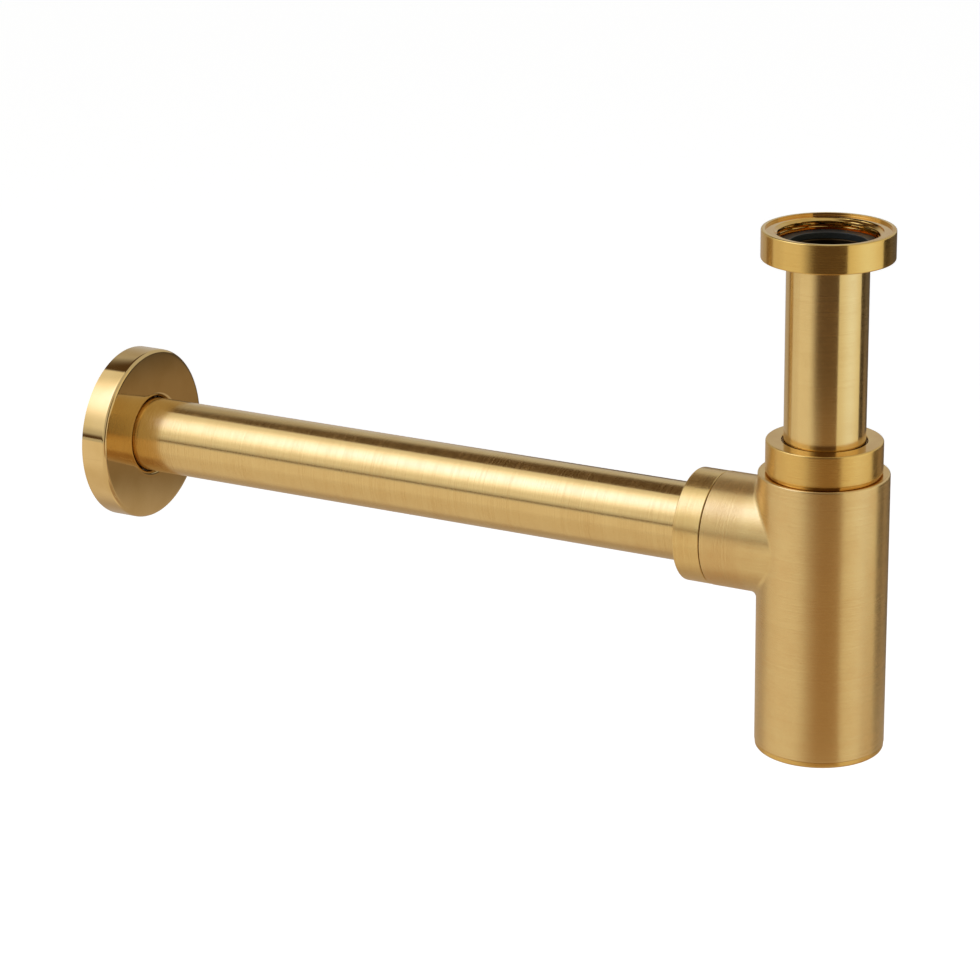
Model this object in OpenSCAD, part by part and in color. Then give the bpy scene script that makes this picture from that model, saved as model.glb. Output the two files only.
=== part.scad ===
// Round bottle trap for a wash basin, brushed brass, 32 mm tubes.
// The origin is the centre of the union nut's top face, +Z is up and +Y points to the wall.

/* [Tubes] */
// Outside diameter of the inlet tube and the outlet pipe
tube_od = 32; // [31:0.5:33]
// Wall thickness of both tubes
tube_wall = 1; // [0.8:0.1:1.5]
// Length of the outlet pipe
pipe_len = 300; // [150:10:400]

/* [Union nut] */
// Outside diameter of the union nut
union_od = 51.6; // [50:0.2:54]
// Height of the union nut
union_h = 11.6; // [11:0.2:14]
// Major diameter of its inlet thread, 1 1/4 inch pipe thread
thread_major = 41.91; // [41.7:0.01:42.1]
// Minor diameter of the same thread
thread_minor = 38.95; // [38.8:0.01:39.2]
// Depth of the tapped part of the bore
thread_depth = 5.3; // [5:0.1:6]
// Diameter of the shallow recess turned round the nut's mouth
recess_od = 48.4; // [47:0.2:49]
// Depth of that recess
recess_depth = 0.5; // [0.3:0.1:0.8]
// Thickness of the flat washer
washer_t = 2.4; // [2:0.1:2.6]

/* [Body] */
// Outside diameter of the bottle
body_od = 51.6; // [51:0.2:54]
// Height from the bottle's top ledge down to the plug's underside
body_h = 114.7; // [110:0.1:130]
// Distance from the union nut's top face down to the bottle's top ledge
body_drop = 97.3; // [90:0.5:120]
// Wall thickness of the bottle
body_wall = 2.8; // [2.4:0.1:3]
// Distance from the bottle's top ledge down to the outlet axis
outlet_drop = 30; // [28:0.5:34]
// Outside diameter of the side branch
branch_od = 46; // [45.6:0.2:46.4]
// Distance from the bottle's axis to the end of the side branch
branch_reach = 42.9; // [40:0.5:50]
// Radius of the blend where the side branch meets the bottle
blend_r = 2.5; // [1.5:0.25:3]
// Depth of water that the dipped inlet tube holds back
water_seal = 51; // [45:1:53]

/* [Compression joints] */
// Outside diameter of the inlet compression nut
inlet_nut_od = 45.9; // [45.4:0.1:47]
// Height of the inlet compression nut
inlet_nut_h = 12.6; // [12:0.1:14]
// Gap between the inlet compression nut and the bottle's ledge
inlet_nut_gap = 0.7; // [0.3:0.1:1]
// Outside diameter of the outlet nut
outlet_nut_od = 45.8; // [45.4:0.1:46.4]
// Length of the outlet nut
outlet_nut_h = 11.5; // [11:0.1:13]
// Gap between the outlet nut and the branch's end
outlet_nut_gap = 0.3; // [0.2:0.1:0.6]
// Major diameter of the neck threads
neck_major = 41.8; // [41.6:0.1:42]

/* [Cleaning plug] */
// Thickness of the plug's rim below the bottle
plug_rim_t = 2.4; // [1.6:0.1:3]
// Major diameter of the plug's thread
plug_major = 47.8; // [47.6:0.1:48]
// Length of the plug's thread
plug_thread_len = 6; // [5:0.5:7]
// Width of the coin slot in the plug's underside
slot_w = 3.2; // [2.5:0.1:4]

/* [Wall flange] */
// Outside diameter of the wall flange
flange_od = 74; // [72:0.5:80]
// Depth of the flange's rim, from the wall to the fold
flange_depth = 11.8; // [10:0.2:14]
// Thickness of the pressed sheet
flange_t = 0.9; // [0.7:0.1:1.1]
// How far the flange's face bulges beyond its rim
flange_dome = 1; // [0.5:0.1:2]
// Radius of the fold between the face and the rim
flange_fold = 1.75; // [1.5:0.25:3]
// Radius of the rolled lip at the flange's hole
flange_roll = 2; // [1.6:0.1:2.4]

/* [Hidden] */

brass = "#C79A56";
polished_brass = "#D2A45C";
rubber = "#222222";
nylon = "#E6E3DA";

round_fn = 120;
ring_fn = 96;

// Clearance of a running fit, and the wider one of a loose sleeve
fit_gap = 0.05;
loose_gap = 0.4;
// Radial clearance between a nut's bore and the thread that it runs on
thread_gap = 0.12;
// Radius that breaks the turned edges
edge_r = 0.6;

tube_r = tube_od / 2;
tube_bore_r = tube_r - tube_wall;
body_r = body_od / 2;
cavity_r = body_r - body_wall;
branch_r = branch_od / 2;
neck_r = neck_major / 2;

// The union nut's inner lip carries the tube's flange, and the washer lies on that
lip_t = 2.2;
tube_flange_t = 1.6;
union_lip_z = -union_h + lip_t;
tube_top_z = union_lip_z + fit_gap + tube_flange_t;
tube_flange_r = thread_minor / 2 - 0.35;
washer_r = thread_minor / 2 - 0.15;

body_top_z = -body_drop;
body_bottom_z = body_top_z - body_h + plug_rim_t;
outlet_z = body_top_z - outlet_drop;
tube_end_z = outlet_z - tube_bore_r - water_seal;

// The stack under each compression nut's lip: slip ring, then the seal's head
slip_ring_t = 1;
seal_head_t = 1.1;
seal_taper_len = 4.2;
seal_r = 18.7;
seal_tip_r = 17.1;
neck_bore_r = tube_r + 0.5;
function neck_len(nut_gap, nut_h) =
    nut_gap + nut_h - lip_t - 2 * fit_gap - slip_ring_t - seal_head_t;
inlet_neck = neck_len(inlet_nut_gap, inlet_nut_h);
outlet_neck = neck_len(outlet_nut_gap, outlet_nut_h);

// The pipe runs from just off its stop in the branch to just short of the wall
pipe_stop_y = 24.6;
pipe_start_y = pipe_stop_y + 3.4;
wall_y = pipe_start_y + pipe_len + 0.4;

plug_r = body_r - 0.2;
plug_core_r = plug_major / 2;
o_ring_r = 0.85;
o_ring_groove_r = plug_core_r - 1.1;
o_ring_seat_r = o_ring_groove_r + 2 * (o_ring_r + fit_gap);
o_ring_seat_h = 2 * (o_ring_r + fit_gap);

flange_r = flange_od / 2;
flange_face_r = flange_r - flange_fold;
flange_lip_r = tube_r + loose_gap;
flange_collar = 3.2;
grip_ring_r = 1.2;

// Points of an arc about a centre, from one angle to the other
function arc(centre, r, from, to, steps = 5) =
    [for (i = [0:steps]) let (a = from + (to - from) * i / steps)
        centre + r * [cos(a), sin(a)]];

// Corners of a turned ring with a broken outer edge at its top and bottom
function ring_profile(r_in, r_out, low, high, edge) = concat(
    [[r_in, low]],
    arc([r_out - edge, low + edge], edge, -90, 0),
    arc([r_out - edge, high - edge], edge, 0, 90),
    [[r_in, high]]);

module turned(points, fn = round_fn) {
    rotate_extrude($fn = fn) polygon(points);
}

// Turns a shape drawn along +Z so that it points along +Y on the outlet axis
module on_outlet_axis(y = 0) {
    translate([0, y, outlet_z]) rotate([-90, 0, 0]) children();
}

// Nut, thread upwards from its open end at z = 0, with the lip at its closed end
module compression_nut(od, h) {
    bore_r = neck_r + thread_gap;
    lip_r = tube_r + 0.7;
    mouth = 0.5;
    turned(concat(
        [[bore_r + mouth, 0]],
        arc([od / 2 - edge_r / 2, edge_r / 2], edge_r / 2, -90, 0),
        arc([od / 2 - edge_r, h - edge_r], edge_r, 0, 90),
        arc([lip_r + edge_r, h - edge_r], edge_r, 90, 180),
        [[lip_r, h - lip_t], [bore_r, h - lip_t], [bore_r, mouth]]));
}

// Thin ring that lets the nut turn without dragging the seal
module slip_ring() {
    turned(ring_profile(tube_r + 0.2, neck_r - 0.5, 0, slip_ring_t, 0.15), ring_fn);
}

// Seal with a flat head at z = 0 and a taper that points down into the neck
module tapered_seal() {
    bore_r = tube_r + fit_gap;
    head_r = seal_r + 1;
    turned([
        [bore_r, -seal_taper_len],
        [seal_tip_r - fit_gap, -seal_taper_len],
        [seal_r - fit_gap, 0],
        [head_r, 0],
        [head_r, seal_head_t],
        [bore_r, seal_head_t],
    ], ring_fn);
}

// The hollow of a neck whose end is at z = 0: tapered seat first, then the tube's bore
module neck_bore(depth) {
    mouth_r = seal_r + (seal_r - seal_tip_r) / seal_taper_len;
    turned([
        [0, 1], [mouth_r, 1], [seal_tip_r, -seal_taper_len],
        [neck_bore_r, -seal_taper_len - 0.4], [neck_bore_r, -depth], [0, -depth],
    ]);
}

module tube(length) {
    chamfer = 0.25;
    turned([
        [tube_bore_r, 0], [tube_r - chamfer, 0], [tube_r, chamfer],
        [tube_r, length - chamfer], [tube_r - chamfer, length], [tube_bore_r, length],
    ]);
}

// Nut with an inner lip under the tube's flange, a tapped mouth and a recess round that
module inlet_union_nut() {
    hole_r = tube_r + loose_gap;
    color(brass)
    turned(concat(
        [[hole_r, -union_h]],
        arc([union_od / 2 - edge_r, edge_r - union_h], edge_r, -90, 0),
        arc([union_od / 2 - edge_r, -edge_r], edge_r, 0, 90),
        [
            [recess_od / 2, 0], [recess_od / 2, -recess_depth], [thread_major / 2, -recess_depth],
            [thread_major / 2, -thread_depth], [thread_minor / 2, -thread_depth],
            [thread_minor / 2, union_lip_z], [hole_r, union_lip_z],
        ]));
}

module inlet_washer() {
    color(rubber)
    translate([0, 0, tube_top_z])
        turned(ring_profile(tube_bore_r, washer_r, 0, washer_t, 0.3), ring_fn);
}

// Tube with a flange spun out of its top end; the corner under the flange is rounded
module inlet_tube() {
    under_z = tube_top_z - tube_flange_t;
    bend_r = 0.35;
    chamfer = 0.25;
    color(brass)
    turned(concat(
        [[tube_bore_r, tube_end_z], [tube_r - chamfer, tube_end_z], [tube_r, tube_end_z + chamfer]],
        arc([tube_r + bend_r, under_z - bend_r], bend_r, 180, 90, 3),
        [
            [tube_flange_r, under_z], [tube_flange_r, tube_top_z],
            [tube_bore_r + 1, tube_top_z], [tube_bore_r, tube_top_z - 1],
        ]));
}

module inlet_compression_nut() {
    color(brass)
    translate([0, 0, body_top_z + inlet_nut_gap]) compression_nut(inlet_nut_od, inlet_nut_h);
}

module inlet_slip_ring() {
    color(nylon)
    translate([0, 0, body_top_z + inlet_neck + seal_head_t + fit_gap]) slip_ring();
}

module inlet_seal() {
    color(rubber)
    translate([0, 0, body_top_z + inlet_neck]) tapered_seal();
}

// Outside of the bottle with its neck, turned about the inlet axis
module bottle_outside() {
    edge = 0.8;
    neck_top = body_top_z + inlet_neck;
    turned(concat(
        [[0, body_bottom_z]],
        arc([body_r - 0.3, body_bottom_z + 0.3], 0.3, -90, 0, 3),
        arc([body_r - edge, body_top_z - edge], edge, 0, 90),
        [
            [neck_r - 1.5, body_top_z], [neck_r - 1.5, body_top_z + 1], [neck_r, body_top_z + 1.8],
            [neck_r, neck_top - 0.8], [neck_r - 0.8, neck_top], [0, neck_top],
        ]));
}

// Outside of the branch with its neck, drawn along +Z from the inlet axis
module branch_outside() {
    neck_top = branch_reach + outlet_neck;
    turned([
        [0, 0], [branch_r, 0], [branch_r, branch_reach - 0.3], [branch_r - 0.3, branch_reach],
        [neck_r - 1.5, branch_reach], [neck_r - 1.5, branch_reach + 1], [neck_r, branch_reach + 1.8],
        [neck_r, neck_top - 0.8], [neck_r - 0.8, neck_top], [0, neck_top],
    ]);
}

// Centre of a ball of radius blend_r that rolls along the corner between the bottle
// and the branch and touches both, at an angle round the branch
function ball_centre(a) = let (x = (branch_r + blend_r) * cos(a)) [
    x,
    sqrt(pow(body_r + blend_r, 2) - x * x),
    (branch_r + blend_r) * sin(a),
];

function unit(v) = v / norm(v);

// Section of the blend there: the ball's arc from one surface to the other, sunk a
// little into both, and closed by a point well inside the metal
function blend_section(a, steps, sink) =
    let (
        c = ball_centre(a),
        to_bottle = -unit([c.x, c.y, 0]),
        to_branch = -[cos(a), 0, sin(a)],
        span = acos(to_bottle * to_branch)
    ) concat(
        [for (i = [0:steps]) let (s = i / steps)
            c + (blend_r + sink) * (sin(span * (1 - s)) * to_bottle + sin(span * s) * to_branch) / sin(span)],
        [c + 2.4 * blend_r * unit(to_bottle + to_branch)]);

// Ring of metal that rounds the corner between the bottle and the branch: the surface
// that a rolling ball would leave, lofted through its sections
module branch_blend() {
    sections = 72;
    steps = 5;
    sink = 0.04;
    loop = steps + 2;
    points = [for (k = [0:sections - 1]) each blend_section(360 * k / sections, steps, sink)];
    faces = [for (k = [0:sections - 1]) for (i = [0:loop - 1])
        let (
            a = k * loop + i,
            b = k * loop + (i + 1) % loop,
            c = ((k + 1) % sections) * loop + (i + 1) % loop,
            d = ((k + 1) % sections) * loop + i
        ) each [[a, c, b], [a, d, c]]];
    translate([0, 0, outlet_z]) polyhedron(points, faces);
}

// Hollow of the bottle: O-ring seat, plug thread, settling chamber and its shoulder
module bottle_cavity() {
    bore_r = plug_core_r + thread_gap;
    thread_top = body_bottom_z + plug_thread_len + 2;
    roof_z = body_top_z - body_wall;
    turned(concat(
        [
            [0, body_bottom_z - 1], [o_ring_seat_r, body_bottom_z - 1],
            [o_ring_seat_r, body_bottom_z + o_ring_seat_h], [bore_r, body_bottom_z + o_ring_seat_h],
            [bore_r, thread_top], [cavity_r, thread_top + bore_r - cavity_r],
        ],
        arc([cavity_r - 2, roof_z - 2], 2, 0, 90),
        [[0, roof_z]]));
}

module trap_body() {
    color(brass)
    difference() {
        union() {
            bottle_outside();
            on_outlet_axis() branch_outside();
            branch_blend();
        }
        bottle_cavity();
        translate([0, 0, body_top_z + inlet_neck]) neck_bore(inlet_neck + body_wall + 1);
        on_outlet_axis(branch_reach + outlet_neck)
            neck_bore(branch_reach + outlet_neck - pipe_stop_y);
        // Waterway from the bottle to the pipe's stop
        on_outlet_axis(14) cylinder(h = pipe_stop_y - 13, r = tube_bore_r, $fn = round_fn);
    }
}

module outlet_nut() {
    color(brass)
    on_outlet_axis(branch_reach + outlet_nut_gap) compression_nut(outlet_nut_od, outlet_nut_h);
}

module outlet_slip_ring() {
    color(nylon)
    on_outlet_axis(branch_reach + outlet_neck + seal_head_t + fit_gap) slip_ring();
}

module outlet_seal() {
    color(rubber)
    on_outlet_axis(branch_reach + outlet_neck) tapered_seal();
}

module outlet_pipe() {
    color(brass)
    on_outlet_axis(pipe_start_y) tube(pipe_len);
}

// Height of the flange's face over the wall at a radius
function face_height(r) = flange_depth + flange_dome * (1 - pow(r / flange_face_r, 2));

// One skin of the pressed flange, from the rim at the wall to the end of its collar;
// inset is 0 for the outer skin and the sheet's thickness for the inner one
function flange_skin(inset) =
    let (
        lip_top = face_height(flange_lip_r + flange_roll),
        edge_top = face_height(flange_face_r)
    ) concat(
        [[flange_r - inset, 0]],
        arc([flange_face_r, edge_top - flange_fold], flange_fold - inset, 0, 90, 8),
        [for (i = [1:5]) let (r = flange_face_r + (flange_lip_r + flange_roll - flange_face_r) * i / 6)
            [r, face_height(r) - inset]],
        arc([flange_lip_r + flange_roll, lip_top - flange_roll], flange_roll - inset, 90, 180, 8),
        [[flange_lip_r + inset, lip_top - flange_roll - flange_collar]]);

function reversed(list) = [for (i = [len(list) - 1:-1:0]) list[i]];

// Pressed flange with a domed face, a rolled lip and an open back, its rim on the wall
module wall_flange() {
    color(polished_brass)
    translate([0, wall_y, outlet_z]) rotate([90, 0, 0])
        turned(concat(flange_skin(0), reversed(flange_skin(flange_t))), 144);
}

// Rubber ring that grips the pipe behind the flange's collar
module flange_grip_ring() {
    collar_end = face_height(flange_lip_r + flange_roll) - flange_roll - flange_collar;
    ring_c = [tube_r + fit_gap + grip_ring_r, 0];
    color(rubber)
    translate([0, wall_y, outlet_z]) rotate([90, 0, 0])
        translate([0, 0, collar_end - fit_gap - grip_ring_r])
            turned(arc(ring_c, grip_ring_r, 0, 345, 23), ring_fn);
}

// Plug with a threaded skirt, a groove for its O-ring and a coin slot in its underside
module cleaning_plug() {
    rim_z = body_bottom_z - plug_rim_t;
    skirt_top = body_bottom_z + plug_thread_len + 1;
    groove_top = body_bottom_z + o_ring_seat_h + 0.3;
    floor_z = rim_z + 3.4;
    round_r = 1;
    skirt_r = plug_core_r - 3.2;
    slot_depth = 1.6;
    slot_len = 34;
    color(brass)
    difference() {
        turned(concat(
            [[0, rim_z]],
            arc([plug_r - round_r, rim_z + round_r], round_r, -90, 0),
            [
                [plug_r, body_bottom_z - fit_gap], [o_ring_groove_r, body_bottom_z - fit_gap],
                [o_ring_groove_r, groove_top], [plug_core_r, groove_top + 0.6],
                [plug_core_r, skirt_top - 0.8], [plug_core_r - 0.8, skirt_top],
                [skirt_r, skirt_top], [skirt_r, floor_z], [0, floor_z],
            ]));
        translate([0, 0, rim_z - 1]) {
            for (x = [-1, 1]) translate([x * (slot_len - slot_w) / 2, 0, 0])
                cylinder(h = slot_depth + 1, d = slot_w, $fn = 32);
            translate([(slot_w - slot_len) / 2, -slot_w / 2, 0])
                cube([slot_len - slot_w, slot_w, slot_depth + 1]);
        }
    }
}

module plug_o_ring() {
    ring_c = [o_ring_groove_r + fit_gap + o_ring_r, body_bottom_z + o_ring_r + fit_gap / 2];
    color(rubber)
    turned(arc(ring_c, o_ring_r, 0, 337.5, 15), ring_fn);
}

inlet_union_nut();
inlet_washer();
inlet_tube();
inlet_compression_nut();
inlet_slip_ring();
inlet_seal();
trap_body();
outlet_nut();
outlet_slip_ring();
outlet_seal();
outlet_pipe();
wall_flange();
flange_grip_ring();
cleaning_plug();
plug_o_ring();
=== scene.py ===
import math

import bmesh
import bpy
from mathutils import Matrix, Vector


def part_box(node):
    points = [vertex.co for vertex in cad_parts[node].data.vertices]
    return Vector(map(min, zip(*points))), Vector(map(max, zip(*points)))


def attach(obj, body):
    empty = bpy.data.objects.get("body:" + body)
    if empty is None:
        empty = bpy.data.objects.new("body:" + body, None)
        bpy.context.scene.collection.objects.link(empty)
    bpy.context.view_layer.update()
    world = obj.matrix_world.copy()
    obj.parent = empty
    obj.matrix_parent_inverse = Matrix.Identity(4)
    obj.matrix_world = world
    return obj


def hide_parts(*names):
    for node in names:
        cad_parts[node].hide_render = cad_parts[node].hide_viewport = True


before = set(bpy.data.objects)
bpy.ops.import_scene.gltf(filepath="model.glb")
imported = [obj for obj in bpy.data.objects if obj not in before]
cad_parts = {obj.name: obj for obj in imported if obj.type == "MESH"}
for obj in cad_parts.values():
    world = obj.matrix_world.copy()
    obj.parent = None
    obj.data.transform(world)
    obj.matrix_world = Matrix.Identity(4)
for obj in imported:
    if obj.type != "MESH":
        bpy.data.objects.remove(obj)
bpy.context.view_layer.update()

# Round bottle trap in brushed gold-tone brass. Lengths in this script are millimetres, turned
# to metres where a mesh is made. +Z runs up the inlet tube and +Y along the pipe to the wall.
MM = 0.001


def node_box(node):
    """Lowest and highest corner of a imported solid, in millimetres."""
    low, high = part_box(node)
    return low / MM, high / MM


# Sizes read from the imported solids
union_low, union_high = node_box("inlet_union_nut")
tube_low, tube_high = node_box("inlet_tube")
washer_low, washer_high = node_box("inlet_washer")
inlet_nut_low, inlet_nut_high = node_box("inlet_compression_nut")
body_low, body_high = node_box("trap_body")
outlet_nut_low, outlet_nut_high = node_box("outlet_nut")
pipe_low, pipe_high = node_box("outlet_pipe")
flange_low, flange_high = node_box("wall_flange")
plug_low, plug_high = node_box("cleaning_plug")
o_ring_high = node_box("plug_o_ring")[1]

# Sizes inside the solids, as the part's source has them
OUTLET_Z = (pipe_low.z + pipe_high.z) / 2
TUBE_R = pipe_high.x
BORE_R = TUBE_R - 1
BODY_R = -body_low.y
BODY_WALL = 2.8
CAVITY_R = BODY_R - BODY_WALL
BODY_TOP = -97.3
BODY_BOTTOM = body_low.z
BRANCH_R = 23.0
BRANCH_END = 42.9
BLEND_R = 2.5
PIPE_STOP = 24.6
NECK_R = 20.9
NECK_ROOT_R = NECK_R - 1.5
NECK_RELIEF = 1
NECK_THREAD_START = 1.8
NECK_CHAMFER = 0.8
NECK_BORE_R = 16.5
SEAT_R, SEAT_TIP_R, SEAT_DEPTH, SEAT_LEAD = 18.7, 17.1, 4.2, 0.4
THREAD_GAP = 0.12
NUT_LIP = 2.2
NUT_HOLE_GAP = 0.7
NUT_CHAMFER = 0.5
UNION_THREAD_R = 20.955
UNION_MINOR_R = 19.475
UNION_RECESS_R = 24.2
UNION_RECESS_DEPTH = 0.9
UNION_THREAD_END = -5.3
UNION_HOLE_R = 16.4
UNION_LIP_TOP = -9.4
TUBE_FLANGE = 1.6
O_RING_SEAT_DEPTH = 1.8
PLUG_THREAD_R = 23.9
PLUG_THREAD_LOW, PLUG_THREAD_HIGH = 2.2, 7.6
PLUG_BORE_END, PLUG_CONE_END = 8, 9
COLLAR_R, COLLAR_HEIGHT = 22.3, 0.62
LEDGE_ROUND = 0.7

# Threads: pitch and depth of the 1 1/4 inch pipe thread, and of the plug's 2 mm thread
PIPE_PITCH = 2.309
PIPE_THREAD_DEPTH = 1.479
NUT_THREAD_DEPTH = PIPE_THREAD_DEPTH * 0.9
PLUG_PITCH = 2.0
PLUG_THREAD_DEPTH = 1.1


# The camera stands where the photograph was taken from
CAMERA_BEARING = -60.79
CAMERA_HEIGHT_ANGLE = 18.90
CAMERA_ROLL = -0.87
CAMERA_DISTANCE = 1315.7
CAMERA_AIM = Vector((-23.8, 135.63, -118.39))
CAMERA_LENS = 119.587
CAMERA_SENSOR = 36


def place_camera():
    turn = math.radians(CAMERA_BEARING)
    rise = math.radians(CAMERA_HEIGHT_ANGLE)
    back = Vector((math.sin(turn) * math.cos(rise), -math.cos(turn) * math.cos(rise), math.sin(rise)))
    right = (-back).cross(Vector((0, 0, 1))).normalized()
    up = right.cross(-back)
    facing = Matrix((right, up, back)).transposed()
    roll = Matrix.Rotation(math.radians(CAMERA_ROLL), 3, "Z")
    data = bpy.data.cameras.new("photo_camera")
    data.sensor_width = CAMERA_SENSOR
    data.lens = CAMERA_LENS
    camera = bpy.data.objects.new("photo_camera", data)
    stand = CAMERA_AIM + back * CAMERA_DISTANCE
    camera.matrix_world = Matrix.Translation(stand * MM) @ (facing @ roll).to_4x4()
    bpy.context.scene.collection.objects.link(camera)
    bpy.context.scene.camera = camera


# Turned profiles

ARC_STEPS = 6
SUPPORT = 0.18
ROUND_SEGMENTS = 192
UV_LENGTH = 100


def rounded_path(corners, closed=True):
    """Points of an outline of (radius, height, rounding) corners. Straight runs get a point
    near each end, so that their shading stays flat up to the rounded corner."""
    count = len(corners)
    ends = []
    for i, (r, h, rounding) in enumerate(corners):
        here = Vector((r, h))
        if rounding == 0 or (not closed and i in (0, count - 1)):
            ends.append((here, here, None))
            continue
        before = (Vector(corners[i - 1][:2]) - here).normalized()
        after = (Vector(corners[(i + 1) % count][:2]) - here).normalized()
        half = math.acos(max(-1, min(1, before.dot(after)))) / 2
        reach = rounding / math.tan(half)
        centre = here + (before + after).normalized() * rounding / math.sin(half)
        ends.append((here + before * reach, here + after * reach, centre))
    path = []
    for i, (start, stop, centre) in enumerate(ends):
        if centre is None:
            path.append(start)
        else:
            path += arc_between(start, stop, centre)
        if i == count - 1 and not closed:
            break
        following = ends[(i + 1) % count][0]
        run = following - stop
        if run.length > 3 * SUPPORT:
            path.append(stop + run.normalized() * SUPPORT)
            path.append(following - run.normalized() * SUPPORT)
    return path


def arc_between(start, stop, centre, steps=ARC_STEPS):
    a, b = start - centre, stop - centre
    span = a.angle(b)
    parts = [k / steps for k in range(steps + 1)]
    weights = [(math.sin(span * (1 - part)), math.sin(span * part)) for part in parts]
    return [centre + (a * u + b * v) / math.sin(span) for u, v in weights]


# How steep a thread's flank is, and what its crest and root cut off it
FLANK_SLOPE, FLANK_CUT = 1.3, 0.15


def groove(phase):
    """Depth of a thread's flank, from 0 at the major diameter to 1 at the minor one."""
    ramp = FLANK_SLOPE * abs(2 * (phase % 1) - 1) - FLANK_CUT
    ramp = max(0.0, min(1.0, ramp))
    return ramp * ramp * (3 - 2 * ramp)


class Thread:
    """Right-hand thread cut into the turned surface of one radius between two heights. It
    runs out over a part of its pitch at each end."""

    STEPS = 14
    RUN_OUT = 0.4
    TOLERANCE = 1e-3

    def __init__(self, r, low, high, pitch, depth):
        self.r, self.low, self.high = r, low, high
        self.pitch, self.depth = pitch, depth

    def covers(self, r, height):
        slack = self.TOLERANCE
        return abs(r - self.r) < slack and self.low - slack <= height <= self.high + slack

    def radius(self, angle, height):
        fade = min(height - self.low, self.high - height) / (self.RUN_OUT * self.pitch)
        fade = max(0.0, min(1.0, fade))
        return self.r - self.depth * fade * groove(height / self.pitch - angle / (2 * math.pi))

    def refine(self, path):
        """The path with enough points along the threaded run."""
        out = []
        for i, point in enumerate(path):
            out.append(point)
            following = path[(i + 1) % len(path)]
            if self.covers(*point) and self.covers(*following):
                steps = int(abs(following.y - point.y) / self.pitch * self.STEPS)
                out += [point.lerp(following, k / steps) for k in range(1, steps)]
        return out


def new_piece(name, vertices, faces, uvs=None, sharp_angle=38):
    """A mesh object from points in millimetres, smooth but for its sharp corners."""
    mesh = bpy.data.meshes.new(name)
    mesh.from_pydata([Vector(v) * MM for v in vertices], [], faces)
    if uvs:
        layer = mesh.uv_layers.new(name="turning")
        for loop in mesh.loops:
            layer.data[loop.index].uv = uvs[loop.index]
    bm = bmesh.new()
    bm.from_mesh(mesh)
    bmesh.ops.recalc_face_normals(bm, faces=bm.faces)
    limit = math.radians(sharp_angle)
    for edge in bm.edges:
        edge.smooth = len(edge.link_faces) == 2 and edge.calc_face_angle(0) < limit
    for face in bm.faces:
        face.smooth = True
    bm.to_mesh(mesh)
    bm.free()
    piece = bpy.data.objects.new(name, mesh)
    bpy.context.scene.collection.objects.link(piece)
    return piece


def round_z(x, y, h):
    """Places a turned point with its height along +Z."""
    return x, y, h


def round_y(x, y, h):
    """Places a turned point with its height along +Y, on the outlet axis."""
    return x, h, OUTLET_Z - y


def turned(name, path, place=round_z, thread=None, segments=ROUND_SEGMENTS):
    """A solid of revolution from a closed path. A point on the axis closes it there."""
    if thread:
        path = thread.refine(path)
    vertices, rings = [], []
    for r, height in path:
        if r < 1e-6:
            rings.append([len(vertices)] * segments)
            vertices.append(place(0, 0, height))
            continue
        rings.append(list(range(len(vertices), len(vertices) + segments)))
        threaded = thread and thread.covers(r, height)
        for k in range(segments):
            angle = 2 * math.pi * k / segments
            cut_r = thread.radius(angle, height) if threaded else r
            vertices.append(place(cut_r * math.cos(angle), cut_r * math.sin(angle), height))
    faces, uvs = [], []
    for i, ring in enumerate(rings):
        following = rings[(i + 1) % len(rings)]
        if ring[0] == ring[1] and following[0] == following[1]:
            continue
        length = (path[(i + 1) % len(path)] - path[i]).length
        for k in range(segments):
            n = (k + 1) % segments
            corner = [ring[k], ring[n], following[n], following[k]]
            where = [(k, 0), (k + 1, 0), (k + 1, 1), (k, 1)]
            kept = [j for j in range(4) if corner[j] != corner[j - 1]]
            faces.append([corner[j] for j in kept])
            uvs += [(where[j][0] / segments, (i + where[j][1] * length) / UV_LENGTH) for j in kept]
    return new_piece(name, vertices, faces, uvs)


# The bottle: two T-joints, outside and inside, whose three ends are closed by turned rings

PATCH_ANGLE = math.radians(75)
PATCH_COLUMNS = 64
PATCH_ROWS = 40
REST_COLUMNS = 90
BLEND_STEPS = 10
SPOKE_STEPS = 6


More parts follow.
